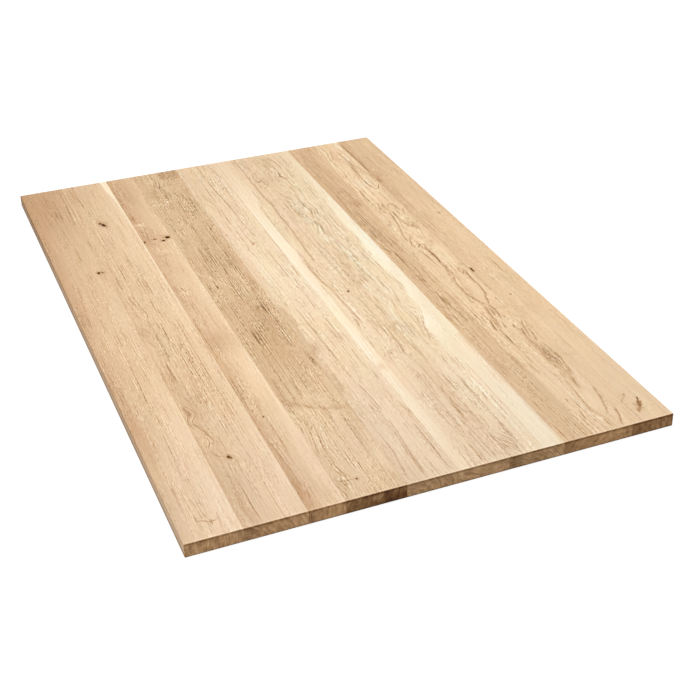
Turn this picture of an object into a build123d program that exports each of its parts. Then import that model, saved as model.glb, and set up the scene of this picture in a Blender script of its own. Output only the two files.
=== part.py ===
from build123d import *
import os

# A solid oak tabletop: full-length staves glued edge to edge, sanded flush, with every outer edge eased.
# X runs across the staves, Y along the grain and Z up. The origin is the middle of the underside.

# Driving dimensions, in millimetres. The staves are numbered from -X to +X.
board_length = 1400.0
board_thickness = 26.0
edge_radius = 2.0
stave_1_width = 98.0
stave_2_width = 109.0
stave_3_width = 65.0
stave_4_width = 108.5
stave_5_width = 96.0
stave_6_width = 94.0
stave_7_width = 107.5
stave_8_width = 137.0
stave_9_width = 85.0

stave_widths = [
    stave_1_width,
    stave_2_width,
    stave_3_width,
    stave_4_width,
    stave_5_width,
    stave_6_width,
    stave_7_width,
    stave_8_width,
    stave_9_width,
]
board_width = sum(stave_widths)


def make_stave(label, left, width, outer_side_axes):
    """One stave, extruded along the grain from its section at the far end of the board.

    Its sides are square where they butt on the next stave. The edges across its two ends are eased,
    and so are all those of the sides that outer_side_axes point out of."""
    middle_of_section = (left + width / 2, board_thickness / 2)
    with BuildPart() as stave:
        with BuildSketch(Plane.XZ.offset(-board_length / 2)):
            with Locations(middle_of_section):
                Rectangle(width, board_thickness)
        extrude(amount=board_length)
        eased_edges = stave.edges().filter_by(Axis.X)
        for outward in outer_side_axes:
            eased_edges += stave.faces().sort_by(outward)[-1].edges()
        fillet(eased_edges, radius=edge_radius)
    stave.part.label = label
    return stave.part


os.makedirs("parts", exist_ok=True)
stave_count = len(stave_widths)
left_of_stave = -board_width / 2
for number, stave_width in enumerate(stave_widths, start=1):
    outer_side_axes = []
    if number == 1:
        outer_side_axes.append(-Axis.X)
    if number == stave_count:
        outer_side_axes.append(Axis.X)
    stave_part = make_stave(f"stave_{number}", left_of_stave, stave_width, outer_side_axes)
    export_step(stave_part, f"parts/{stave_part.label}.step")
    left_of_stave += stave_width
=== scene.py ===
import math
from dataclasses import dataclass

import bpy
import numpy as np
from mathutils import Matrix, Vector


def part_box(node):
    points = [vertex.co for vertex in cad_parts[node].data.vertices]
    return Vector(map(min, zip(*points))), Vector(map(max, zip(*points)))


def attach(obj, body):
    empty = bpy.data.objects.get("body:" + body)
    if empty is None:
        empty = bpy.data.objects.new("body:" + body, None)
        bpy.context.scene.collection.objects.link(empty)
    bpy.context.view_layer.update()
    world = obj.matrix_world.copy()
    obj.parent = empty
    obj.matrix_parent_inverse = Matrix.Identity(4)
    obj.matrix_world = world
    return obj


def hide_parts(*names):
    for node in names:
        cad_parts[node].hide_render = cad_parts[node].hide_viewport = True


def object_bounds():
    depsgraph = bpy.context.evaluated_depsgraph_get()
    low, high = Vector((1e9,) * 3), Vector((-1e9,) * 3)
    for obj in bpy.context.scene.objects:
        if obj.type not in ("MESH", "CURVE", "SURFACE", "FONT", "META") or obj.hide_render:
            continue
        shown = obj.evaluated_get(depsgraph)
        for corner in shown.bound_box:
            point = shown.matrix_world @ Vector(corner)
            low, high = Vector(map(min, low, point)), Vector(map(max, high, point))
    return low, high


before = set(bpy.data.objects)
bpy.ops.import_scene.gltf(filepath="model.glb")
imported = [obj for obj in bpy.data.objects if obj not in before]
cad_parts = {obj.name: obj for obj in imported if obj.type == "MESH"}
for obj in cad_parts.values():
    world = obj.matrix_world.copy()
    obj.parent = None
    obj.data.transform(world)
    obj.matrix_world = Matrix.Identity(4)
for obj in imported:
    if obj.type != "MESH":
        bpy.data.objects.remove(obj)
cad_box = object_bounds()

# A solid oak tabletop of nine full-length staves, lying on a white floor.
# The row frame is in metres. Everything about the wood is written in millimetres on the board: x from its
# left side, y from its far end and z down from its top face, as it would be measured on the real board.
MM = 0.001
BOARD_LOW, BOARD_HIGH = (Vector(corner) for corner in cad_box)
LEFT_SIDE, FAR_END, TOP = BOARD_LOW.x / MM, BOARD_HIGH.y / MM, BOARD_HIGH.z / MM
BOARD_LENGTH = (BOARD_HIGH.y - BOARD_LOW.y) / MM
THICKNESS = (BOARD_HIGH.z - BOARD_LOW.z) / MM
EDGE_RADIUS = 2.0

# How far apart the mesh's lines are, and how much closer they are at a knot or check.
ACROSS_STEP, ALONG_STEP, DOWN_STEP = 1.85, 5.6, 4.0
FINE_STEP, CLOSEST_LINES = 0.85, 0.34
KNOT_MARGIN, CHECK_MARGIN = 1.3, 2
ROUNDING_STEPS = 5
SHARP_ANGLE = 35
FAR_AWAY = 99.0
TOUCHING = 1e-6


# What is written about each stave


@dataclass
class Knot:
    """x, y: its middle. The grain parts round it over grain_swell times its half width."""

    x: float
    y: float
    half_width: float
    half_length: float
    dark: float = 1.0
    pit: float = 0.0
    grain_swell: float = 2.5
    lean: float = 0.0


@dataclass
class Patch:
    """A soft oval that adds amount. lean is how far it slopes along the board for each millimetre across.
    On the end face y is the depth below the top face."""

    x: float
    y: float
    half_width: float
    half_length: float
    amount: float
    lean: float = 0.0


@dataclass
class Lines:
    """Lines of figure, each through its own (x, y) points. dark below 0 makes them pale."""

    half_width: float
    dark: float
    paths: tuple


@dataclass
class Band:
    """Wood on one side of an edge through (x, y) points, which is lighter there by amount."""

    side: str
    soft: float
    amount: float
    points: tuple


@dataclass
class Sapwood:
    """The pale outer wood on one side of an edge. Its points are (x, y, how pale)."""

    side: str
    soft: float
    points: tuple


@dataclass
class Check:
    """A short open crack from start to end, both (x, y)."""

    start: tuple
    end: tuple
    half_width: float
    depth: float
    dark: float = 1.0


@dataclass
class Stave:
    """tone is the plain wood's lightness, and far_tone and near_tone what is added towards the two ends.
    slope is how much lighter its right edge is than its left. pith is where the tree's middle lies, x from
    the stave's middle and z below the top face, and ring is the width of a year. ringed, dashed, streaked,
    pored and rayed say how strongly each shows. lively patches make its streaks stronger or calmer."""

    slot: str
    tone: float
    pith: tuple
    ring: float
    far_tone: float = 0.0
    near_tone: float = 0.0
    slope: float = 0.0
    end_tone: float = 0.57
    tint: tuple = (0, 0, 0)
    wander: float = 3.0
    ripple: float = 0.5
    ringed: float = 0.04
    dashed: float = 0.04
    streaked: float = 1.0
    pored: float = 0.5
    rayed: float = 0.5
    knots: tuple = ()
    stains: tuple = ()
    bands: tuple = ()
    dashes: tuple = ()
    lively: tuple = ()
    figure: tuple = ()
    checks: tuple = ()
    sapwood: tuple = ()
    end_stains: tuple = ()


STAVES = {}
STAVES["stave_1"] = Stave(
    slot="oak_honey", tone=0.758, far_tone=-0.115, near_tone=0.035, slope=0.05, end_tone=0.54,
    tint=(2, 0, -1), pith=(-260, 13), ring=4.6, ringed=0.12, dashed=0.065,
    knots=(Knot(83.5, 463.5, 3.0, 4.2, dark=1.0, pit=0.5), Knot(91, 464.5, 3.0, 2.6, dark=0.52)),
    stains=(
        Patch(45, 85, 26, 55, -0.03), Patch(86, 484, 8, 16, -0.03), Patch(3, 700, 13, 900, -0.05),
        Patch(20, 1140, 16, 70, -0.03), Patch(86, 1270, 13, 150, 0.02), Patch(30, 190, 18, 45, -0.03),
        Patch(20, 600, 15, 110, -0.045), Patch(10, 1030, 12, 60, -0.035), Patch(93, 175, 7, 60, 0.035),
        Patch(52, 810, 24, 60, 0.025), Patch(80, 850, 14, 70, 0.02), Patch(18, 1090, 14, 80, -0.025),
    ),
    end_stains=(Patch(20, 4, 24, 6, -0.05), Patch(82, 14, 12, 20, 0.035)),
    figure=(
        Lines(1.1, 0.08, (
            ((90, 20), (90, 80), (88, 140), (88, 215)), ((66, 60), (66, 110)),
            ((68, 100), (67, 140), (68, 180)), ((47, 138), (47, 152)), ((57, 142), (57, 158)),
            ((36, 180), (36, 200)), ((52, 850), (52, 920), (51, 990)), ((48, 1010), (48, 1040)),
            ((49, 1100), (49, 1130)),
        )),
        Lines(1.0, 0.06, (
            ((20, 490), (20, 520)), ((48, 554), (48, 566)), ((48, 598), (48, 612)),
            ((42, 1290), (43, 1328)), ((48, 1300), (49, 1330)), ((55, 1296), (55, 1318)),
        )),
        Lines(1.0, -0.04, (((93, 10), (93, 100), (93, 200)), ((45, 880), (45, 960)))),
    ),
    lively=(
        Patch(20, 240, 34, 220, -0.4), Patch(80, 330, 16, 120, -0.25), Patch(34, 1000, 16, 130, 0.9),
        Patch(84, 1100, 13, 110, -0.5), Patch(88, 60, 9, 120, 0.4), Patch(38, 480, 10, 90, -0.4),
    ),
    checks=(
        Check((34, 1351), (44, 1354), 0.9, 0.3, 0.42), Check((43, 1353), (52, 1359), 1.0, 0.5, 0.5),
        Check((51, 1360), (66, 1360), 0.9, 0.5, 0.55), Check((57, 1355), (57, 1369), 0.8, 0.6, 0.75),
        Check((35, 1338), (36, 1350), 0.9, 0.2, 0.3), Check((39, 1345), (46, 1349), 0.6, 0.2, 0.25),
        Check((51, 1360), (53, 1378), 0.6, 0.2, 0.28), Check((71, 1342), (70, 1372), 1.0, 0.1, 0.26),
        Check((44, 1328), (46, 1352), 0.8, 0.1, 0.26), Check((51, 1334), (52, 1352), 0.8, 0.1, 0.3),
    ),
)
STAVES["stave_2"] = Stave(
    slot="oak_honey", tone=0.784, far_tone=-0.015, near_tone=-0.015, slope=0.05, end_tone=0.53,
    tint=(2, 0, -1), pith=(-78, 60), ring=4.8, ringed=0.17, dashed=0.085, streaked=1.15, wander=4.0,
    knots=(
        Knot(146.2, 238.5, 3.5, 7.6, dark=1.1, pit=1.2, lean=0.22),
        Knot(141, 229, 3.6, 4.6, dark=0.6, pit=0.3), Knot(134.8, 1207, 3.2, 4.4, dark=0.66, pit=1.4),
        Knot(138.2, 1212, 2.2, 3.0, dark=0.55, pit=0.6),
    ),
    stains=(
        Patch(145, 236, 12, 24, -0.05), Patch(140, 216, 4, 12, -0.05), Patch(146, 259, 5, 6, 0.06),
        Patch(194, 520, 9, 700, 0.018), Patch(109, 950, 12, 60, -0.035), Patch(118, 1320, 20, 90, -0.04),
        Patch(165, 1290, 20, 70, 0.01), Patch(116, 60, 14, 50, -0.05), Patch(199, 150, 6, 90, 0.05),
        Patch(113, 750, 9, 30, -0.04), Patch(124, 1040, 13, 55, -0.065), Patch(101, 1250, 6, 90, -0.04),
        Patch(200, 1240, 9, 80, 0.03), Patch(176, 280, 10, 60, 0.02), Patch(148, 540, 16, 50, 0.015),
        Patch(134, 70, 26, 80, -0.025), Patch(190, 1050, 12, 80, -0.02),
    ),
    dashes=(Patch(152, 900, 34, 190, 0.06), Patch(150, 560, 26, 70, 0.04), Patch(115, 670, 14, 40, 0.04)),
    lively=(
        Patch(142, 900, 15, 280, 0.9), Patch(178, 190, 24, 260, -0.5), Patch(194, 1120, 13, 320, -0.45),
        Patch(170, 1310, 20, 90, -0.25), Patch(140, 80, 22, 90, -0.35), Patch(115, 270, 9, 80, 0.5),
        Patch(190, 440, 14, 120, -0.3),
    ),
    figure=(
        Lines(1.2, 0.08, (
            ((122, 70), (124, 100), (126, 130)), ((132, 90), (133, 110)), ((110, 420), (110, 480)),
            ((112, 500), (112, 560)), ((115, 590), (120, 625), (127, 650), (131, 675)),
            ((137, 440), (137, 520)), ((141, 520), (145, 600)), ((147, 525), (150, 595)),
            ((152, 520), (155, 600)), ((157, 530), (160, 598)), ((162, 525), (165, 600)),
            ((166, 540), (166, 610)), ((190, 540), (190, 600)), ((104, 722), (108, 732), (109, 742)),
            ((113, 730), (118, 750), (121, 758)), ((104, 775), (109, 790), (113, 800), (116, 815)),
            ((100, 655), (108, 664), (113, 678), (115, 690)),
            ((101, 1085), (108, 1092), (114, 1102), (118, 1115), (122, 1130), (126, 1150), (128, 1158)),
            ((116, 1000), (122, 1020), (124, 1035)), ((181, 720), (180, 860), (181, 990), (182, 1100)),
            ((103, 1040), (108, 1030), (112, 1032), (118, 1048), (121, 1060)), ((137, 1140), (137, 1195)),
        )),
        Lines(1.3, 0.11, (
            ((116, 870), (117, 900), (118, 930), (120, 942)), ((134, 644), (135, 656)),
            ((111, 980), (111, 990)), ((112, 1180), (117, 1195), (121, 1200), (130, 1203)),
            ((124, 1185), (132, 1197)),
        )),
        Lines(1.0, 0.06, (
            ((100, 1115), (104, 1120)), ((102, 1130), (110, 1140)),
            ((110, 1345), (116, 1370), (119, 1390)), ((182, 1120), (182, 1150)),
            ((183, 1170), (183, 1200)),
        )),
        Lines(1.2, -0.04, (
            ((126, 250), (133, 262), (140, 280)), ((122, 258), (128, 268), (134, 284)),
            ((101, 1315), (118, 1320)),
        )),
    ),
    end_stains=(Patch(108, 8, 14, 14, -0.1), Patch(195, 14, 12, 22, 0.045)),
    sapwood=(
        Sapwood("right", 2.0, (
            (191, 0, 0.9), (194, 60, 0.8), (200, 110, 0.6), (204, 170, 0.7), (204, 360, 0.6),
            (204, 700, 0.3), (205, 760, 0.0), (205, 1400, 0.0),
        )),
    ),
)
STAVES["stave_3"] = Stave(
    slot="oak_honey", tone=0.782, far_tone=-0.055, near_tone=-0.03, slope=0.07, end_tone=0.52,
    tint=(3, 0, -2), pith=(-240, 20), ring=4.8, ringed=0.12, dashed=0.08, streaked=1.15,
    knots=(
        Knot(264, 357, 5.4, 5.6, dark=1.2, pit=2.4), Knot(251, 370, 3.4, 3.6, dark=1.1, pit=1.4),
        Knot(234.5, 356, 3.8, 3.6, dark=0.6, pit=0.3), Knot(210.2, 362, 1.5, 4.0, dark=0.9, pit=0.6),
        Knot(228.5, 1117, 1.5, 3.0, dark=0.6, pit=0.2),
    ),
    stains=(
        Patch(211, 110, 5, 100, -0.05), Patch(216, 235, 5, 12, -0.17), Patch(218, 258, 5, 6, -0.11),
        Patch(222, 272, 9, 6, 0.12, lean=0.3), Patch(232, 262, 3, 9, 0.06), Patch(247, 379, 3, 6, 0.08),
        Patch(240, 350, 22, 40, -0.03), Patch(239, 422, 18, 8, 0.06, lean=0.8),
        Patch(238, 100, 16, 80, -0.035), Patch(258, 830, 12, 90, -0.03), Patch(236, 440, 14, 10, -0.05),
        Patch(213, 600, 6, 14, -0.07), Patch(226, 625, 9, 9, 0.03), Patch(232, 835, 12, 34, -0.05),
        Patch(212, 700, 7, 700, -0.03), Patch(213, 1240, 8, 170, -0.03), Patch(252, 980, 16, 90, 0.035),
        Patch(256, 1220, 14, 160, 0.025), Patch(214, 345, 7, 40, -0.05), Patch(238, 830, 26, 42, -0.045),
        Patch(214, 1350, 10, 60, -0.05), Patch(240, 1345, 22, 40, -0.03), Patch(214, 1010, 8, 90, -0.025),
        Patch(234, 365, 5, 3, 0.1), Patch(269, 900, 6, 620, 0.035),
    ),
    dashes=(Patch(235, 155, 8, 80, 0.05),),
    lively=(
        Patch(216, 300, 9, 420, 0.45), Patch(215, 1150, 9, 330, 0.5), Patch(254, 650, 17, 520, -0.45),
        Patch(258, 1180, 15, 230, -0.55), Patch(250, 100, 18, 130, -0.35),
    ),
    end_stains=(Patch(211, 12, 8, 22, -0.1), Patch(262, 13, 12, 20, 0.03)),
    figure=(
        Lines(1.4, 0.07, (
            ((222, 256), (226, 262), (229, 258)), ((229, 490), (229, 504)),
            ((216, 606), (226, 612), (238, 616)), ((212, 730), (211, 800), (213, 900)),
            ((214, 960), (213, 1060)),
            ((209, 1100), (210, 1180), (214, 1215), (216, 1240), (219, 1300), (220, 1330)),
        )),
    ),
)
STAVES["stave_4"] = Stave(
    slot="oak_brown", tone=0.75, end_tone=0.36, tint=(1, 0, -3), pith=(-170, -40), ring=5.0, ringed=0.22,
    dashed=0.16, streaked=1.65, pored=1.0,
    knots=(
        Knot(297.5, 626, 1.6, 2.8, dark=0.8, pit=0.3),
        Knot(311, 1350, 1.8, 2.4, dark=0.75, pit=0.5, grain_swell=7),
    ),
    stains=(
        Patch(291, 126, 15, 24, -0.055), Patch(366, 190, 14, 50, 0.015), Patch(330, 509, 42, 58, -0.03),
        Patch(351, 420, 9, 12, -0.035), Patch(346, 440, 10, 12, -0.02), Patch(361, 668, 9, 20, -0.05),
        Patch(353, 707, 12, 10, -0.04), Patch(356, 748, 14, 18, -0.045), Patch(291, 1098, 11, 9, -0.055),
        Patch(356, 1132, 6, 9, -0.05), Patch(330, 850, 44, 200, -0.02), Patch(330, 1290, 50, 120, 0.03),
        Patch(285, 1353, 12, 5, -0.05), Patch(330, 1120, 60, 100, 0.045), Patch(290, 1190, 20, 70, 0.025),
        Patch(370, 1320, 10, 45, 0.045), Patch(354, 825, 12, 60, -0.05), Patch(328, 1000, 26, 40, 0.03),
        Patch(327, 230, 5, 35, -0.035), Patch(320, 65, 12, 14, 0.03), Patch(286, 620, 12, 50, 0.02),
        Patch(300, 1135, 20, 12, 0.025, lean=0.5), Patch(350, 1162, 20, 12, 0.02, lean=0.4),
        Patch(322, 1085, 5, 30, 0.03), Patch(350, 985, 12, 22, -0.02),
    ),
    bands=(
        Band("right", 4.0, -0.08, ((334, 0), (332, 40), (338, 50))),
        Band("left", 6.0, -0.02, ((340, 700), (350, 1120))),
    ),
    dashes=(
        Patch(342, 240, 26, 120, 0.05), Patch(322, 70, 24, 30, 0.03), Patch(353, 590, 9, 24, 0.04),
        Patch(352, 990, 16, 34, 0.09), Patch(318, 1150, 26, 50, 0.04), Patch(345, 1080, 22, 30, 0.04),
    ),
    lively=(
        Patch(344, 760, 16, 170, 0.7), Patch(342, 300, 16, 90, 0.7), Patch(367, 480, 13, 100, 0.7),
        Patch(368, 900, 12, 90, 0.5), Patch(340, 1090, 36, 90, -0.4), Patch(368, 1310, 16, 100, -0.6),
        Patch(300, 120, 26, 200, 0.25), Patch(290, 1090, 16, 80, -0.25),
    ),
    figure=(
        Lines(4.0, -0.055, (((271, 187), (286, 183), (301, 185), (314, 180), (320, 172), (319, 162)),)),
        Lines(3.4, -0.045, (((273, 548), (288, 570), (302, 598), (319, 633), (326, 657)),)),
        Lines(5.0, 0.034, (
            ((272, 1095), (290, 1101), (305, 1112), (320, 1126), (345, 1138), (374, 1148)),
        )),
        Lines(1.4, 0.1, (((274, 1336), (283, 1346), (297, 1348), (309, 1350)),)),
        Lines(1.2, 0.08, (
            ((304, 100), (310, 78), (318, 52)), ((314, 98), (322, 74), (330, 52)),
            ((326, 98), (333, 76), (340, 56)), ((338, 92), (344, 72), (348, 58)),
            ((292, 262), (298, 275), (296, 288)), ((310, 262), (316, 276), (314, 290)),
            ((330, 262), (336, 274), (334, 288)), ((346, 264), (350, 278)),
            ((299, 896), (298, 990), (299, 1092)), ((313, 826), (312, 960), (313, 1092)),
            ((283, 1004), (282, 1060), (283, 1090)), ((307, 1104), (311, 1116), (316, 1128)),
            ((330, 1118), (334, 1130), (341, 1142)), ((277, 1262), (284, 1220), (291, 1170), (294, 1144)),
            ((290, 1262), (297, 1215), (302, 1168)), ((284, 1302), (289, 1326), (297, 1342)),
            ((292, 1302), (297, 1328), (304, 1344)), ((359, 1342), (361, 1352)),
        )),
    ),
    end_stains=(
        Patch(358, 20, 24, 9, -0.17), Patch(331, 10, 3, 9, 0.16), Patch(300, 8, 24, 8, 0.04),
        Patch(345, 6, 7, 8, -0.06),
    ),
)
STAVES["stave_5"] = Stave(
    slot="oak_pale", tone=0.854, far_tone=-0.035, near_tone=-0.05, slope=0.04, end_tone=0.53,
    pith=(-62, 52), ring=5.2, ringed=0.14, dashed=0.09, streaked=1.1,
    knots=(Knot(428, 468, 3.2, 6.0, dark=0.4, grain_swell=5),),
    stains=(
        Patch(389, 268, 6, 28, 0.04), Patch(410, 540, 24, 110, 0.03), Patch(432, 640, 30, 80, 0.02),
        Patch(462, 1230, 12, 160, -0.015), Patch(425, 440, 22, 70, 0.02), Patch(466, 350, 12, 110, 0.025),
        Patch(393, 610, 9, 60, -0.035), Patch(394, 880, 8, 130, -0.025), Patch(400, 1370, 16, 50, -0.035),
    ),
    bands=(
        Band("left", 2.2, -0.075, (
            (381, 741), (394, 766), (398, 806), (398, 836), (392, 856), (390, 906), (402, 936),
            (387, 956), (386, 1004), (392, 1044), (397, 1083), (384, 1110),
        )),
    ),
    dashes=(Patch(460, 300, 14, 240, 0.03), Patch(400, 1170, 18, 60, 0.04)),
    lively=(
        Patch(452, 110, 26, 160, 0.8), Patch(408, 130, 18, 160, -0.35), Patch(442, 1130, 13, 260, -0.35),
        Patch(402, 500, 18, 90, -0.25), Patch(392, 720, 10, 80, 0.4),
    ),
    figure=(
        Lines(1.5, 0.11, (
            ((435, 0), (435, 100), (434, 112), (436, 180), (439, 220), (441, 268), (441, 318), (440, 353),
             (445, 418), (449, 438)),
            ((448, 0), (450, 40)), ((464, 0), (467, 50), (470, 80), (474, 100)),
            ((448, 508), (449, 528), (448, 553), (449, 588), (448, 607), (448, 632), (449, 647)),
        )),
        Lines(1.3, 0.09, (
            ((474.5, 408), (474.5, 490), (474.5, 566)), ((471, 597), (471, 657)),
            ((442, 408), (445, 423)), ((450, 686), (453, 706), (454, 746), (452, 796)),
            ((457, 836), (456, 885), (457, 925), (456, 944)), ((449, 846), (449, 924)),
            ((459, 964), (458, 1014), (461, 1043)),
            ((423, 1083), (426, 1113), (428, 1142), (429, 1172), (428, 1187)), ((417, 1152), (417, 1182)),
        )),
        Lines(1.3, 0.1, (
            ((415, 776), (417, 806), (416, 846), (418, 875), (417, 905), (419, 954), (418, 994),
             (419, 1063)),
            ((397, 1272), (397, 1311), (393, 1336), (392, 1351), (390, 1376)),
            ((467, 1163), (469, 1183), (471, 1203), (469, 1228)),
            ((464, 1242), (464, 1281), (465, 1331), (464, 1361), (467, 1391)),
        )),
        Lines(1.4, 0.12, (
            ((428, 1212), (428, 1242), (426, 1272), (423, 1301), (421, 1331), (421, 1351), (419, 1381)),
        )),
        Lines(1.3, 0.06, (
            ((400, 169), (404, 209), (410, 234), (412, 259), (407, 308)),
            ((394, 224), (402, 249), (404, 279)), ((417, 463), (414, 478), (406, 498)),
            ((408, 905), (408, 964)), ((407, 984), (407, 1043)), ((398, 1148), (404, 1163), (407, 1183)),
            ((406, 1193), (404, 1213), (400, 1223)), ((396, 1168), (389, 1183)),
            ((386, 1173), (389, 1190), (394, 1208)), ((462, 1118), (464, 1153)),
            ((474.5, 1193), (474.5, 1218)), ((474.5, 1272), (474.5, 1301)),
        )),
        Lines(1.4, -0.045, (((464, 70), (470, 119), (473, 160)), ((399, 438), (411, 453), (419, 458)))),
    ),
    end_stains=(Patch(430, 12, 16, 10, 0.03),),
)
STAVES["stave_6"] = Stave(
    slot="oak_pale", tone=0.85, far_tone=-0.035, near_tone=-0.045, slope=-0.035, end_tone=0.53,
    pith=(8, -60), ring=4.8, ringed=0.16, dashed=0.11, streaked=1.2,
    knots=(
        Knot(540.3, 752, 1.9, 3.2, dark=1.0, pit=0.4, lean=-0.3), Knot(509.5, 1014, 1.1, 1.8, dark=0.7),
        Knot(523, 1012, 1.1, 1.8, dark=0.7), Knot(534, 1015, 1.3, 2.0, dark=0.6),
    ),
    stains=(
        Patch(557, 720, 13, 22, -0.035), Patch(527, 1003, 4, 8, -0.04), Patch(487, 1048, 8, 12, -0.09),
        Patch(566, 935, 4, 13, -0.05), Patch(535, 1330, 24, 70, -0.01), Patch(511, 420, 7, 150, 0.02),
        Patch(509, 640, 9, 50, -0.05), Patch(556, 1190, 10, 60, -0.03), Patch(536, 520, 16, 120, -0.015),
        Patch(560, 600, 10, 60, -0.02), Patch(484, 1050, 8, 150, 0.025),
    ),
    dashes=(Patch(545, 860, 16, 130, 0.03), Patch(548, 180, 18, 140, 0.03)),
    lively=(
        Patch(489, 700, 11, 520, -0.4), Patch(536, 660, 16, 180, 1.0), Patch(550, 80, 20, 110, 0.9),
        Patch(560, 700, 10, 130, 0.4), Patch(510, 1100, 14, 160, -0.3),
    ),
    figure=(
        Lines(1.7, 0.12, (
            ((534, 0), (533, 40), (534, 70), (533, 100), (532, 140), (532, 180), (531, 230), (532, 260),
             (535, 290), (533, 330), (532, 370), (531, 440), (529, 470), (527, 520), (525, 540),
             (525, 570), (524, 600)),
        )),
        Lines(1.6, 0.11, (
            ((503, 640), (504, 670), (506, 700), (511, 720), (512, 740), (513, 780), (515, 820),
             (516, 850), (518, 880)),
            ((562, 1150), (558, 1160), (556, 1170), (558, 1190), (557, 1210), (561, 1230), (566, 1255)),
            ((567, 1170), (567, 1195)), ((553, 702), (555, 708)),
        )),
        Lines(1.4, 0.1, (
            ((548, 780), (549, 810), (551, 850), (553, 880), (553, 920), (552, 950), (551, 980),
             (549, 1000), (546, 1020), (546, 1030)),
            ((544, 1245), (546, 1280), (549, 1320), (550, 1360), (551, 1390)),
            ((524, 1330), (526, 1360), (524, 1390)),
        )),
        Lines(1.3, 0.08, (
            ((551, 5), (553, 50), (555, 90), (558, 120), (563, 150), (563, 180), (561, 200)),
            ((546, 120), (548, 150), (545, 180), (541, 200)),
            ((518, 200), (516, 225), (518, 250), (518, 285)),
            ((541, 1090), (539, 1120), (537, 1150), (536, 1190), (537, 1240)),
            ((547, 1100), (545, 1130), (542, 1160), (541, 1190)), ((541, 1300), (543, 1390)),
            ((519, 1155), (517, 1170), (516, 1180)), ((521, 1200), (520, 1230), (521, 1250)),
        )),
        Lines(1.1, 0.06, (
            ((546, 260), (546, 300)), ((541, 430), (541, 460)), ((524, 415), (524, 440)),
            ((522, 480), (522, 500)), ((503, 350), (503, 430), (503, 520)), ((497, 700), (501, 750)),
            ((545, 890), (545, 950)), ((565, 1125), (565, 1150)), ((530, 1365), (530, 1395)),
            ((523, 1265), (523, 1310)),
        )),
    ),
    sapwood=(
        Sapwood("left", 3.4, (
            (513, 0, 0.1), (512, 120, 0.4), (514, 230, 0.6), (508, 275, 0.8), (502, 300, 1.0),
            (503, 540, 1.0), (499, 600, 0.85), (498, 980, 0.85), (498, 1080, 0.75), (498, 1250, 0.6),
            (498, 1400, 0.4),
        )),
    ),
    end_stains=(Patch(480, 4, 4, 6, 0.12),),
)
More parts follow.
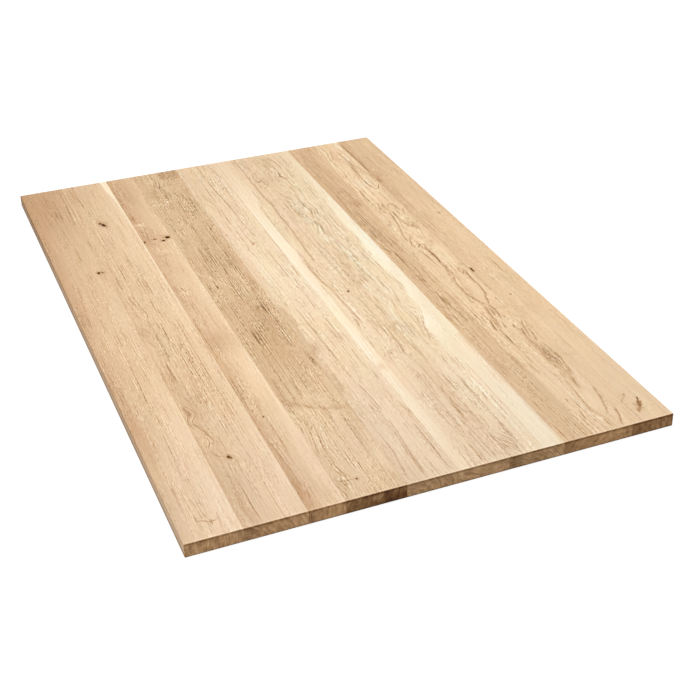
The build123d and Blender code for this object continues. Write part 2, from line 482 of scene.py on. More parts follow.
STAVES["stave_7"] = Stave(
    slot="oak_pale", tone=0.865, far_tone=-0.04, near_tone=-0.025, slope=0.03, end_tone=0.5,
    tint=(-1, 0, -1), pith=(-38, 75), ring=4.4, ripple=1.0, ringed=0.2, dashed=0.12, streaked=1.55,
    knots=(Knot(568, 333, 1.2, 2.0, dark=0.5),),
    stains=(
        Patch(615, 42, 7, 12, -0.05), Patch(601, 104, 5, 12, -0.05), Patch(582, 690, 14, 40, -0.03),
        Patch(575, 375, 5, 15, -0.05), Patch(584, 535, 7, 10, -0.04), Patch(590, 600, 8, 16, -0.04),
        Patch(583, 650, 6, 16, -0.08), Patch(592, 715, 6, 14, -0.07), Patch(575, 725, 6, 5, -0.07),
        Patch(590, 1228, 4, 10, -0.07), Patch(630, 1190, 12, 110, 0.03), Patch(574, 150, 9, 45, -0.04),
        Patch(590, 230, 14, 50, -0.025), Patch(600, 345, 14, 40, 0.015), Patch(576, 610, 9, 90, -0.04),
        Patch(637, 920, 14, 60, 0.045), Patch(650, 790, 16, 60, 0.03), Patch(590, 1340, 22, 60, -0.03),
        Patch(576, 1100, 10, 150, -0.02), Patch(622, 300, 18, 80, 0.03), Patch(590, 470, 18, 60, 0.025),
    ),
    bands=(Band("right", 2.0, -0.06, ((672, 1000), (673, 1200), (672, 1400))),),
    lively=(
        Patch(600, 300, 26, 110, 1.0), Patch(606, 560, 20, 170, 0.3), Patch(640, 1010, 13, 260, -0.4),
        Patch(663, 500, 11, 220, -0.4), Patch(663, 1290, 10, 120, -0.6), Patch(630, 60, 20, 90, -0.3),
    ),
    dashes=(
        Patch(583, 690, 20, 50, 0.09), Patch(610, 1190, 26, 50, 0.07), Patch(600, 350, 24, 60, 0.03),
        Patch(586, 1340, 24, 60, 0.04), Patch(600, 80, 24, 60, 0.03),
    ),
    figure=(
        Lines(1.6, 0.13, (
            ((605, 20), (605, 50), (605, 70), (604, 88)),
            ((612, 22), (618, 40), (622, 50), (625, 70), (626, 90), (627, 105)),
            ((599, 580), (597, 600), (595, 620)),
            ((575, 232), (575, 245), (578, 260), (582, 275), (584, 285)),
            ((581, 790), (580, 810), (580, 830)),
        )),
        Lines(1.4, 0.1, (
            ((596, 160), (602, 149), (612, 149), (617, 158), (617, 200), (619, 240)),
            ((624, 390), (624, 410), (622, 430), (620, 450), (617, 465)),
            ((612, 600), (611, 620), (610, 645)), ((588, 690), (592, 710), (595, 735)),
            ((625, 780), (624, 800), (622, 820), (620, 840)),
            ((572, 1330), (580, 1345), (590, 1360), (596, 1375), (596, 1395)), ((580, 660), (579, 668)),
            ((578, 678), (578, 688)), ((560, 610), (560, 620)), ((556, 700), (556, 708)),
        )),
        Lines(1.3, 0.09, (
            ((613, 345), (603, 380), (598, 400)), ((618, 355), (612, 375), (606, 400)),
            ((622, 350), (618, 375), (612, 400)),
            ((609, 820), (605, 840), (600, 860), (597, 880), (596, 910)),
            ((615, 890), (615, 930), (612, 960), (608, 985)),
            ((648, 860), (645, 880), (640, 900), (635, 920), (628, 930), (622, 950), (618, 975),
             (612, 1000)),
            ((582, 1260), (582, 1290), (581, 1300)), ((583, 1325), (592, 1340), (600, 1355), (603, 1370)),
            ((567, 1375), (572, 1390)), ((590, 1345), (597, 1360), (598, 1380)),
            ((575, 1370), (583, 1368), (590, 1375), (592, 1390)),
        )),
        Lines(1.3, 0.07, (
            ((575, 20), (574, 50), (576, 70), (572, 85)), ((585, 95), (585, 105)),
            ((585, 170), (592, 190), (597, 205), (596, 215)), ((606, 205), (607, 230), (611, 250)),
            ((572, 150), (572, 160)), ((646, 152), (646, 162)), ((598, 290), (598, 300)),
            ((589, 310), (586, 320)), ((613, 315), (613, 325)), ((608, 455), (604, 480), (603, 500)),
            ((617, 465), (613, 490), (613, 515)), ((641, 455), (642, 480), (645, 500)),
            ((617, 600), (617, 630)), ((577, 840), (577, 850)), ((636, 725), (633, 745)),
            ((592, 940), (592, 980)), ((585, 1065), (588, 1060), (592, 1064), (590, 1070)),
            ((606, 1060), (605, 1090)), ((576, 1138), (576, 1152)), ((620, 1200), (620, 1230)),
            ((617, 1215), (617, 1240)), ((592, 1150), (591, 1180)), ((602, 1160), (603, 1200)),
        )),
        Lines(2.8, 0.05, (((599, 415), (594, 435), (589, 450), (582, 470), (578, 485)),)),
    ),
    sapwood=(
        Sapwood("right", 4.6, (
            (664, 0, 0.3), (664, 250, 0.8), (655, 300, 1.0), (653, 420, 1.3), (651, 560, 1.4),
            (648, 700, 1.2), (654, 770, 1.0), (640, 890, 0.9), (627, 960, 0.8), (622, 1060, 0.6),
            (640, 1110, 0.5), (640, 1400, 0.55),
        )),
    ),
    end_stains=(Patch(660, 11, 18, 22, 0.06), Patch(578, 8, 16, 18, -0.09)),
)
STAVES["stave_8"] = Stave(
    slot="oak_tan", tone=0.82, near_tone=-0.025, end_tone=0.51, tint=(3, 0, -4), pith=(48, 80), ring=4.6,
    ripple=0.9, ringed=0.2, dashed=0.12, streaked=1.65,
    stains=(
        Patch(703, 250, 34, 420, -0.03), Patch(777, 110, 15, 30, -0.035), Patch(770, 300, 13, 56, 0.04),
        Patch(795, 420, 6, 12, -0.05), Patch(796, 759, 9, 18, -0.06), Patch(808, 737, 7, 6, -0.07),
        Patch(776, 940, 9, 24, -0.07), Patch(799, 1143, 22, 34, -0.03), Patch(792, 1245, 5, 18, -0.06),
        Patch(770, 600, 16, 70, 0.02), Patch(750, 140, 8, 70, 0.035), Patch(799, 160, 9, 50, 0.045),
        Patch(778, 252, 7, 26, 0.055), Patch(798, 282, 10, 14, -0.045), Patch(808, 365, 8, 45, -0.06),
        Patch(770, 415, 7, 18, -0.08), Patch(801, 455, 8, 25, -0.04), Patch(782, 490, 13, 25, 0.045),
        Patch(753, 520, 8, 40, 0.015), Patch(771, 735, 7, 26, 0.05), Patch(776, 860, 8, 40, -0.035),
        Patch(801, 1178, 10, 36, -0.055, lean=-6.0), Patch(809, 1065, 7, 30, -0.05),
        Patch(793, 1300, 13, 45, 0.02), Patch(808, 600, 7, 70, -0.03), Patch(712, 1250, 20, 130, -0.02),
        Patch(697, 330, 20, 300, -0.03), Patch(768, 290, 14, 110, 0.025), Patch(795, 690, 12, 60, 0.025),
        Patch(725, 30, 20, 60, -0.01),
    ),
    bands=(
        Band("left", 1.6, -0.055, (
            (752, 0), (748, 40), (746, 160), (743, 230), (741, 275), (738, 409), (735, 508), (730, 607),
            (728, 706), (727, 905), (729, 1004), (732, 1103), (734, 1203), (737, 1400),
        )),
    ),
    lively=(
        Patch(800, 130, 16, 120, 0.5), Patch(716, 90, 30, 110, -0.5), Patch(708, 1310, 32, 100, -0.4),
        Patch(772, 285, 14, 60, -0.5), Patch(710, 560, 24, 120, 0.25), Patch(797, 685, 11, 65, -0.7),
        Patch(796, 1300, 16, 60, -0.75), Patch(757, 1200, 16, 90, -0.4), Patch(801, 1160, 9, 50, 0.6),
    ),
    dashes=(
        Patch(795, 1035, 20, 45, 0.1), Patch(790, 1150, 26, 40, 0.06), Patch(725, 370, 10, 28, 0.05),
        Patch(780, 400, 24, 120, 0.04), Patch(785, 780, 22, 120, 0.04), Patch(780, 1310, 24, 80, 0.04),
        Patch(700, 900, 20, 300, 0.03),
    ),
    figure=(
        Lines(1.6, 0.14, (
            ((791, 60), (793, 90), (793, 120), (790, 160), (788, 200)),
            ((777, 50), (772, 70), (768, 90), (763, 108)),
            ((779, 416), (781, 403), (788, 398), (795, 407), (797, 424), (799, 438)),
            ((812, 430), (806, 440), (801, 456)), ((806, 1188), (804, 1212)), ((749, 1278), (746, 1297)),
        )),
        Lines(1.5, 0.14, (((788, 195), (788, 222), (787, 246)),)),
        Lines(1.7, 0.26, (((787, 245), (786, 272), (790, 297)),)),
        Lines(1.5, 0.18, (((789, 294), (793, 306), (800, 308), (805, 297), (811, 286), (814, 281)),)),
        Lines(1.5, 0.1, (
            ((797, 1222), (792, 1240), (789, 1262)), ((811, 1150), (809, 1170), (804, 1192)),
            ((785, 1197), (779, 1238), (777, 1272), (773, 1302), (770, 1341)),
            ((782, 200), (778, 218), (771, 226), (766, 240)),
            ((757, 294), (753, 314), (751, 339), (752, 369)), ((763, 294), (760, 328)),
            ((766, 381), (761, 405), (755, 423)), ((771, 996), (768, 1020)),
            ((803, 763), (797, 771), (793, 781)),
            ((800, 748), (793, 756), (790, 766), (795, 776), (790, 784)), ((712, 845), (712, 885)),
            ((707, 855), (707, 895)), ((690, 1262), (690, 1302)), ((707, 345), (709, 372)),
            ((716, 358), (716, 392)), ((726, 352), (725, 384)), ((708, 520), (707, 610)),
            ((718, 560), (717, 640)), ((700, 620), (699, 720)), ((711, 680), (710, 760)),
        )),
        Lines(1.8, 0.2, (
            ((773, 389), (770, 410)), ((758, 628), (765, 618), (774, 621)),
            ((755, 974), (751, 988), (749, 1004), (747, 1020)),
        )),
        Lines(1.25, 0.25, (((771, 438), (769, 463), (765, 493), (760, 523)),)),
        Lines(1.4, 0.1, (
            ((778, 440), (777, 470), (773, 500), (768, 528)), ((752, 640), (757, 700), (760, 740)),
        )),
        Lines(1.5, 0.16, (
            ((760, 520), (755, 542), (750, 565), (747, 597)),
            ((764, 569), (757, 585), (752, 602), (748, 619), (752, 628)),
            ((816, 1337), (811, 1357), (808, 1367), (801, 1382), (799, 1396)),
            ((752, 1322), (749, 1342), (747, 1354)), ((704, 761), (704, 786)),
        )),
        Lines(2.6, 0.125, (
            ((775, 619), (771, 643), (773, 675), (771, 696), (769, 722), (767, 750), (764, 778)),
        )),
        Lines(2.5, 0.15, (
            ((770, 781), (763, 796), (760, 821), (760, 851), (760, 868), (765, 886), (769, 901),
             (776, 916)),
        )),
        Lines(1.9, 0.18, (
            ((803, 766), (800, 791), (800, 816), (801, 836), (798, 858), (796, 878), (789, 890),
             (787, 904), (781, 918)),
        )),
        Lines(1.8, 0.135, (((816, 1262), (811, 1284), (809, 1300), (803, 1324), (794, 1352)),)),
        Lines(1.6, 0.16, (
            ((779, 916), (783, 936), (782, 956), (778, 981)),
            ((771, 921), (768, 941), (765, 961), (763, 991), (760, 1015)),
            ((775, 931), (774, 951), (771, 966)), ((788, 1007), (785, 1025)),
            ((811, 1000), (804, 1020), (800, 1045), (796, 1065)),
            ((814, 1010), (810, 1035), (805, 1064), (800, 1084)), ((796, 1025), (793, 1055)),
            ((811, 1133), (811, 1153)),
        )),
        Lines(1.3, 0.06, (
            ((724, 836), (726, 906), (727, 945)),
            ((728, 964), (727, 1004), (725, 1064), (726, 1123), (729, 1173), (731, 1188)),
            ((704, 836), (704, 886)), ((704, 1004), (703, 1093)), ((693, 230), (693, 300), (693, 368)),
            ((693, 448), (693, 488)), ((693, 533), (693, 543)), ((779, 1357), (779, 1396)),
            ((784, 1357), (784, 1396)), ((716, 345), (717, 390)), ((724, 350), (725, 392)),
            ((732, 345), (733, 385)),
        )),
    ),
    end_stains=(
        Patch(688, 12, 14, 24, -0.08), Patch(772, 14, 26, 16, 0.045), Patch(804, 12, 4, 5, -0.14),
        Patch(741, 18, 3, 6, -0.05),
    ),
)
STAVES["stave_9"] = Stave(
    slot="oak_tan", tone=0.795, far_tone=-0.055, near_tone=-0.005, end_tone=0.42, tint=(3, 0, -4),
    pith=(240, 8), ring=4.4, ripple=0.3, ringed=0.07, dashed=0.05, streaked=1.1, pored=0.3,
    knots=(Knot(875, 489, 2.2, 4.0, dark=0.26), Knot(842.5, 898, 1.4, 2.2, dark=0.7, pit=0.2)),
    stains=(
        Patch(833, 200, 5, 8, 0.05), Patch(825, 258, 6, 30, -0.055), Patch(838, 238, 7, 34, -0.04),
        Patch(818, 120, 5, 120, -0.03), Patch(835, 1150, 14, 5, -0.03, lean=0.4),
        Patch(850, 1360, 8, 10, -0.04), Patch(885, 120, 10, 200, 0.012), Patch(848, 1318, 10, 16, -0.02),
        Patch(820, 380, 14, 380, -0.06), Patch(838, 330, 12, 160, -0.025), Patch(852, 960, 12, 35, -0.04),
        Patch(822, 770, 6, 25, -0.03), Patch(870, 560, 14, 80, 0.015), Patch(880, 40, 16, 40, 0.03),
    ),
    figure=(
        Lines(2.0, 0.12, (
            ((818, 22), (819, 110), (819, 209)), ((821, 249), (821, 280)), ((818, 24), (818, 32)),
        )),
        Lines(1.2, 0.06, (
            ((824, 109), (824, 159)), ((833, 320), (833, 390), (833, 455)),
            ((824, 1140), (828, 1150), (836, 1154)),
        )),
        Lines(1.3, 0.1, (((872, 484), (875, 493), (878, 486)),)),
    ),
    lively=(
        Patch(827, 180, 9, 200, 1.1), Patch(862, 60, 22, 90, -0.5), Patch(855, 1200, 42, 230, -0.6),
        Patch(858, 600, 30, 130, -0.4), Patch(856, 900, 20, 60, 0.5),
    ),
    checks=(
        Check((818.5, 759), (818.5, 781), 1.4, 2.0, 1.4), Check((870, 1326), (865, 1338), 1.5, 1.2, 1.0),
        Check((866, 1336), (858, 1356), 2.9, 1.4, 0.85), Check((860, 1352), (847, 1370), 2.9, 0.9, 0.46),
        Check((851, 1342), (856, 1354), 1.8, 0.3, 0.28), Check((853, 1308), (849, 1318), 1.5, 0.4, 0.4),
        Check((847, 1319), (839, 1325), 0.7, 0.2, 0.25), Check((839, 1324), (834, 1334), 1.1, 0.3, 0.3),
    ),
    end_stains=(Patch(830, 10, 16, 16, -0.04), Patch(880, 20, 20, 10, 0.03)),
)


# How light the wood is, and the screen colour that goes with it.
WOOD_COLOURS = (
    (0.05, (42, 9, 0)),
    (0.15, (72, 35, 4)),
    (0.31, (115, 77, 38)),
    (0.47, (157, 121, 83)),
    (0.60, (195, 154, 110)),
    (0.65, (204, 166, 127)),
    (0.70, (213, 178.5, 141)),
    (0.74, (221, 189, 151)),
    (0.78, (229, 199, 162)),
    (0.82, (239, 209, 172)),
    (0.86, (244, 219, 184)),
    (0.90, (251, 229, 195)),
    (0.94, (255, 240, 211)),
    (0.98, (255, 250, 230)),
)
SAPWOOD_TONE = 0.92
# How far red, green and blue drift over the board, as parts of themselves, and which way at the near end.
HUE_DRIFT = (0.07, 0.03, 0.13)
NEAR_COOLNESS = (-0.45, 0.0, 0.55)


# Noise and fields on the board

NOISE_SIDE = 32
# Sizes of the lumps by which the grain strays, in millimetres across, along and down.
WANDER_LUMPS, RIPPLE_LUMPS, SMALL_RIPPLE_LUMPS = (160, 420, 200), (24, 95, 30), (7, 34, 9)
SMALL_RIPPLE = 0.3
PITH_DRIFT, PITH_DRIFT_LUMPS = 6.0, (1, 380, 1)
# How far a knot narrows on the way down, as a part of itself. The grain that parts round it is worked out
# from this reach outwards, and closes again over this many half lengths.
KNOT_NARROWING = 0.6
KNOT_CORE, KNOT_FLOW_LENGTHS = 0.6, 10
# The edge of a band strays by so much, and a band's ends fade over so much, in millimetres.
BAND_RAGGED, BAND_RAGGED_LUMPS, BAND_END_FADE = 1.2, (9, 26, 9), 8
# How far the sapwood's edge moves over for each millimetre down.
SAPWOOD_LEAN = 0.5
# A check's width is ragged by this part of itself. Its core and the darkened wood beside it go from none to
# full between two multiples of its half width, and end at a depth. The core's darkness is partly painted
# shade inside the open crack.
CHECK_RAGGED, CHECK_RAGGED_LUMPS, CHECK_BLUNTNESS = 0.6, (2.6, 2.2, 9.0), 0.04
CHECK_CORE, CHECK_HALO, CHECK_STAIN_DEPTH = (1.7, 0.6), (4.2, 0.8), 3
# Beyond these a knot and an edge of sapwood are no longer told from farther ones.
KNOT_FIELD_END, SAPWOOD_FIELD_END = 6.0, 3.0
# Where the tone of the board's ends begins, as parts of its length.
FAR_TONE_START, NEAR_TONE_START = 0.45, 0.6
# Streaks are calmer by a part of themselves from this place to the near end.
NEAR_CALM_START, NEAR_CALM = 950, 0.22
STREAK_RANGE = (0.2, 2.2)


def part_way(value, zero, one):
    """0 at zero and 1 at one, even between and level beyond."""
    return np.clip((value - zero) / (one - zero), 0, 1)


def above_underside(points):
    """1 on the top face, falling evenly to 0 on the underside."""
    return part_way(points[:, 2], THICKNESS, 0)


def smooth_noise(points, size, seed):
    """Noise between -1 and 1 whose lumps are about size millimetres along x, y and z."""
    table = np.random.default_rng(seed).uniform(-1, 1, (NOISE_SIDE,) * 3)
    place = points / np.asarray(size, float)
    cell = np.floor(place).astype(int)
    part = place - cell
    part = part**3 * (part * (6 * part - 15) + 10)
    total = np.zeros(len(points))
    for corner in np.ndindex(2, 2, 2):
        weight = np.prod(np.where(corner, part, 1 - part), axis=1)
        at = (cell + corner) % NOISE_SIDE
        total += weight * table[at[:, 0], at[:, 1], at[:, 2]]
    return total


def bump(patch, x, y):
    """1 at the patch's middle, falling smoothly to 0 well outside it."""
    across = x - patch.x
    along = y - patch.y - across * patch.lean
    return np.exp(-((across / patch.half_width) ** 2) - (along / patch.half_length) ** 2)


def patchwork(patches, points):
    """The sum of some patches of the top face, which fade with depth."""
    total = np.zeros(len(points))
    for patch in patches:
        total += patch.amount * bump(patch, points[:, 0], points[:, 1])
    return total * above_underside(points)


def knot_reach(knot, points):
    """Distance from a knot's axis over its half width and half length. It narrows with depth."""
    narrowing = 1 - KNOT_NARROWING * points[:, 2] / THICKNESS
    along = points[:, 1] - knot.y
    across = points[:, 0] - knot.x - knot.lean * along
    return np.hypot(across / knot.half_width, along / knot.half_length) / narrowing


def flow_round(knot, points):
    """How far the grain is pushed across by the knot, as water flows round a stone."""
    reach = np.maximum(knot_reach(knot, points), KNOT_CORE) * knot.half_width
    push = (knot.half_width * knot.grain_swell / 2) ** 2 / reach**2
    across = points[:, 0] - knot.x
    along = (points[:, 1] - knot.y) / (KNOT_FLOW_LENGTHS * knot.half_length)
    return -across * np.minimum(push, 1) * np.exp(-(along**2))


PATH_STEP = 3.5
# How far across and along a drawn line turns the grain, and the grid on which that is worked out.
FLOW_REACH, FLOW_GRID = (9.0, 16.0), (4.0, 8.0)
FLOW_REST = 1.8
WIDE_BAND = 3.0


def smooth_path(points):
    """Even points on a smooth curve through the given ones."""
    given = np.array(points, float)
    before = np.vstack([2 * given[0] - given[1], given[:-1]])
    after = np.vstack([given[1:], 2 * given[-1] - given[-2]])
    slopes = (after - before) / 2
    path = [given[:1]]
    for a, b, slope_a, slope_b in zip(given, given[1:], slopes, slopes[1:]):
        count = max(2, round(np.hypot(*(b - a)) / PATH_STEP))
        t = np.linspace(0, 1, count + 1)[1:, None]
        path.append(
            (1 + 2 * t) * (1 - t) ** 2 * a
            + t * (1 - t) ** 2 * slope_a
            + t**2 * (3 - 2 * t) * b
            + t**2 * (t - 1) * slope_b
        )
    return np.vstack(path)


def across_flow(stave, points):
    """How far the grain is moved across near the drawn lines, so that it runs beside them. Pale lines and
    wide ones don't move it."""
    turning = [group for group in stave.figure if group.dark > 0 and group.half_width < WIDE_BAND]
    paths = [smooth_path(path) for group in turning for path in group.paths]
    places = np.vstack(paths)
    moves = np.concatenate([path[:, 0].mean() - path[:, 0] for path in paths])
    low = points[:, :2].min(0)
    counts = np.ceil((points[:, :2].max(0) - low) / FLOW_GRID).astype(int) + 2
    moved = np.zeros(counts)
    for column in range(counts[0]):
        across = np.full(counts[1], low[0] + column * FLOW_GRID[0])
        grid = np.stack([across, low[1] + np.arange(counts[1]) * FLOW_GRID[1]], 1)
        near = np.abs(places[:, 0] - grid[0, 0]) < 3 * FLOW_REACH[0]
        weight = np.exp(-(((grid[:, None] - places[near]) / FLOW_REACH) ** 2).sum(2))
        moved[column] = (weight * moves[near]).sum(1) / (weight.sum(1) + FLOW_REST)
    spot = (points[:, :2] - low) / FLOW_GRID
    cell = spot.astype(int)
    (i, j), (u, v) = cell.T, (spot - cell).T
    near_side = moved[i, j] * (1 - v) + moved[i, j + 1] * v
    far_side = moved[i + 1, j] * (1 - v) + moved[i + 1, j + 1] * v
    return (near_side * (1 - u) + far_side * u) * above_underside(points)


def grain_fields(stave, seed, middle, points):
    """Ring count, and the place in the tree, in millimetres around the pith, out from it and along it."""
    x = points[:, 0] + across_flow(stave, points)
    for knot in stave.knots:
        x += flow_round(knot, points)
    x += stave.wander * smooth_noise(points, WANDER_LUMPS, seed)
    x += stave.ripple * smooth_noise(points, RIPPLE_LUMPS, seed + 1)
    x += SMALL_RIPPLE * stave.ripple * smooth_noise(points, SMALL_RIPPLE_LUMPS, seed + 2)
    pith_x, pith_depth = middle + stave.pith[0], stave.pith[1]
    drift = PITH_DRIFT * smooth_noise(points * (0, 1, 0), PITH_DRIFT_LUMPS, seed + 3)
    out = np.hypot(x - pith_x, pith_depth + drift - points[:, 2])
    around = np.arctan2(x - pith_x, pith_depth - points[:, 2]) * math.hypot(*stave.pith)
    return {"rings": out / stave.ring, "around": around, "out": out, "along": points[:, 1]}


def past_edge(side, edge, points):
    """How far a point lies past an edge through (x, y) points, towards that side, in millimetres."""
    xs, ys = np.array(edge, float).T[:2]
    toward = 1 if side == "right" else -1
    return toward * (points[:, 0] - np.interp(points[:, 1], ys, xs))


def stain_field(stave, seed, left, right, points):
    """What is added to the plain wood's lightness."""
    along = points[:, 1] / BOARD_LENGTH
    stain = stave.slope * ((points[:, 0] - left) / (right - left) - 0.5)
    stain += stave.far_tone * part_way(along, FAR_TONE_START, 0) ** 1.2
    stain += stave.near_tone * part_way(along, NEAR_TONE_START, 1)
    stain += patchwork(stave.stains, points)
    ragged = BAND_RAGGED * smooth_noise(points, BAND_RAGGED_LUMPS, seed + 4)
    for band in stave.bands:
        inside = part_way(past_edge(band.side, band.points, points) + ragged, -band.soft, band.soft)
        start, end = band.points[0][1], band.points[-1][1]
        begun = part_way(points[:, 1], start - BAND_END_FADE, start)
        unfinished = part_way(points[:, 1], end + BAND_END_FADE, end)
        stain += band.amount * inside * begun * unfinished * above_underside(points)
    return stain


def sapwood_fields(stave, points):
    """How far inside the sapwood a point is, in units of its soft edge, and how pale the sapwood is."""
    inside, pale = np.full(len(points), -SAPWOOD_FIELD_END), np.zeros(len(points))
    for sap in stave.sapwood:
        depth = past_edge(sap.side, sap.points, points) - SAPWOOD_LEAN * points[:, 2]
        inside = np.maximum(inside, np.clip(depth / sap.soft, -SAPWOOD_FIELD_END, SAPWOOD_FIELD_END))
        _, ys, amounts = np.array(sap.points, float).T
        pale = np.maximum(pale, np.interp(points[:, 1], ys, amounts))
    return {"sapwood": inside, "pale": pale}


def knot_fields(stave, points):
    """Reach of the nearest knot, and how dark that knot is."""
    nearest, darkness = np.full(len(points), KNOT_FIELD_END), np.zeros(len(points))
    for knot in stave.knots:
        reach = np.minimum(knot_reach(knot, points), KNOT_FIELD_END)
        closer = reach < nearest
        nearest = np.where(closer, reach, nearest)
        darkness = np.where(closer, knot.dark, darkness)
    return {"knot": nearest, "knot_dark": darkness}


def check_reach(check, points):
    """Distance from an open crack's line over its ragged half width, narrowing to its two ends."""
    start, end = np.array(check.start, float), np.array(check.end, float)
    way = end - start
    length = np.hypot(*way)
    along = np.clip((points[:, :2] - start) @ way / length**2, 0, 1)
    away = np.hypot(*(points[:, :2] - start - along[:, None] * way).T)
    taper = np.sqrt(np.clip(4 * along * (1 - along), CHECK_BLUNTNESS, 1))
    ragged = 1 + CHECK_RAGGED * smooth_noise(points, CHECK_RAGGED_LUMPS, round(check.start[1]))
    return away / (check.half_width * taper * ragged)


def crack_field(stave, points):
    """How dark the checks make a point: 1 in a whole dark one, less in the darkened wood beside it. The
    core is partly painted shade inside the open crack.
    """
    crack = np.zeros(len(points))
    for check in stave.checks:
        reach = check_reach(check, points)
        core, crack_halo = part_way(reach, *CHECK_CORE), part_way(reach, *CHECK_HALO)
        # The core's darkness is partly painted shade inside the open crack and partly the crack's own
        # colour.
        crack = np.maximum(crack, check.dark * (0.8 * core + 0.2 * crack_halo**2))
    return crack * (points[:, 2] < CHECK_STAIN_DEPTH)


def streak_field(stave, points):
    """How strong the fine streaks are: 1, but less towards the near end and as the lively patches say."""
    near_top = points[:, 2] < 1
    share = 1 - NEAR_CALM * part_way(points[:, 1], NEAR_CALM_START, BOARD_LENGTH) * near_top
    for patch in stave.lively:
        share += patch.amount * bump(patch, points[:, 0], points[:, 1]) * near_top
    return np.clip(share, *STREAK_RANGE)


def sunk(stave, points):
    """How far the top face is sunk by knot holes and checks, in millimetres."""
    depth = np.zeros(len(points))
    for knot in stave.knots:
        if knot.pit:
            depth = np.maximum(depth, knot.pit * part_way(knot_reach(knot, points), 1.1, 0.1) ** 0.7)
    for check in stave.checks:
        depth = np.maximum(depth, check.depth * part_way(check_reach(check, points), 1.3, 0.3))
    return depth


# Lines of figure

# How far a line reaches to its sides, and between what distances from its end it goes from none to full.
LINE_REACH = 4.5
LINE_SOFT_END = (-1.5, 7.5)
LINE_FIELD_END = 9.0


def beside(path, places):
    """Signed distance of places from a path, and how much of the path's length lies to the nearer end."""
    start, way = path[:-1], np.diff(path, axis=0)
    lengths = np.hypot(*way.T)
    offset = places[:, None] - start
    part = np.clip((offset * way).sum(2) / lengths**2, 0, 1)
    away = np.hypot(*np.moveaxis(offset - part[..., None] * way, 2, 0))
    rows, nearest = np.arange(len(places)), away.argmin(1)
    turn = way[nearest, 0] * offset[rows, nearest, 1] - way[nearest, 1] * offset[rows, nearest, 0]
    walked = (np.cumsum(lengths) - lengths)[nearest] + part[rows, nearest] * lengths[nearest]
    return np.where(turn < 0, -1, 1) * away[rows, nearest], np.minimum(walked, lengths.sum() - walked)


def sorted_lines(stave):
    """The stave's lines in layers, so that two lines of one layer lie well apart."""
    layers = []
    for group in stave.figure:
        for points in group.paths:
            path = smooth_path(points)
            for layer in layers:
                gaps = [np.hypot(*np.moveaxis(path[:, None] - other, 2, 0)).min() for _, other in layer]
                if min(gaps) > 2 * LINE_REACH + group.half_width:
                    break
            else:
                layer = []
                layers.append(layer)
            layer.append((group, path))
    return layers


def line_fields(stave, points):
    """For each layer, the distance from its nearest line in half widths, and how dark that line is."""
    fields = {}
    layers = sorted_lines(stave)
    near_top = points[:, 2] < THICKNESS - 1
    for number, layer in enumerate(layers):
        away, dark = np.full(len(points), LINE_FIELD_END), np.zeros(len(points))
        for group, path in layer:
            reach = LINE_REACH + group.half_width
            margin = reach + ALONG_STEP
            low, high = path.min(0) - margin, path.max(0) + margin
            close = near_top & np.all((points[:, :2] > low) & (points[:, :2] < high), axis=1)
            distance, from_end = beside(path, points[close, :2])
            aside = np.abs(distance)
            strength = part_way(aside, reach, reach - 2) * part_way(from_end, *LINE_SOFT_END)
            nearer = aside < np.abs(away[close] * group.half_width)
            away[close] = np.where(nearer, distance / group.half_width, away[close])
            dark[close] = np.where(nearer, group.dark * strength, dark[close])
        fields[f"line_{number}"] = away
        fields[f"line_{number}_dark"] = dark
    return fields, len(layers)


# Meshes


def merged(places):
    """Stretches (low, high) of the places (middle, half extent), with those that overlap made one."""
    stretches = []
    for low, high in sorted((middle - extent, middle + extent) for middle, extent in places):
        if stretches and low < stretches[-1][1]:
            last_low, last_high = stretches.pop()
            low, high = last_low, max(high, last_high)
        stretches.append((low, high))
    return stretches


def spaced(low, high, step, fine_places, low_round, high_round):
    """Grid lines from low to high: evenly spaced, and closer at fine_places and in the roundings."""
    start = low + EDGE_RADIUS if low_round else low
    stop = high - EDGE_RADIUS if high_round else high
    count = max(2, round((stop - start) / step))
    lines = list(np.linspace(start, stop, count + 1))
    for fine_low, fine_high in merged(fine_places):
        fine_count = max(2, round((fine_high - fine_low) / FINE_STEP))
        lines = [place for place in lines if not fine_low <= place <= fine_high]
        lines += list(np.linspace(fine_low, fine_high, fine_count + 1))
    kept = [start]
    for place in sorted(place for place in lines if start <= place <= stop):
        if min(place - kept[-1], stop - place) > CLOSEST_LINES:
            kept.append(place)
    kept.append(stop)
    # In a rounding the lines stand at even angles round the arc.
    turn = np.tan(np.linspace(0, math.pi / 4, ROUNDING_STEPS + 1)[1:]) * EDGE_RADIUS
    if low_round:
        kept = list(start - turn[::-1]) + kept
    if high_round:
        kept = kept + list(stop + turn)
    return np.array(kept)


def box_surface(xs, ys, zs):
    """Points and outward quads of the surface of a grid of lines."""
    shape = (len(xs), len(ys), len(zs))
    number, shell = np.zeros(shape, int), np.zeros(shape, bool)
    shell[[0, -1]] = True
    shell[:, [0, -1]] = True
    shell[:, :, [0, -1]] = True
    number[shell] = np.arange(shell.sum())
    i, j, k = np.nonzero(shell)
    points = np.stack([xs[i], ys[j], zs[k]], 1)

    def sheet(grid, flip):
        a, b, c, d = grid[:-1, :-1], grid[1:, :-1], grid[1:, 1:], grid[:-1, 1:]
        corners = (d, c, b, a) if flip else (a, b, c, d)
        return np.stack([corner.ravel() for corner in corners], 1)

    quads = np.concatenate(
        [
            sheet(number[:, :, -1], False),
            sheet(number[:, :, 0], True),
            sheet(number[-1], False),
            sheet(number[0], True),
            sheet(number[:, -1], True),
            sheet(number[:, 0], False),
        ]
    )
    return points, quads


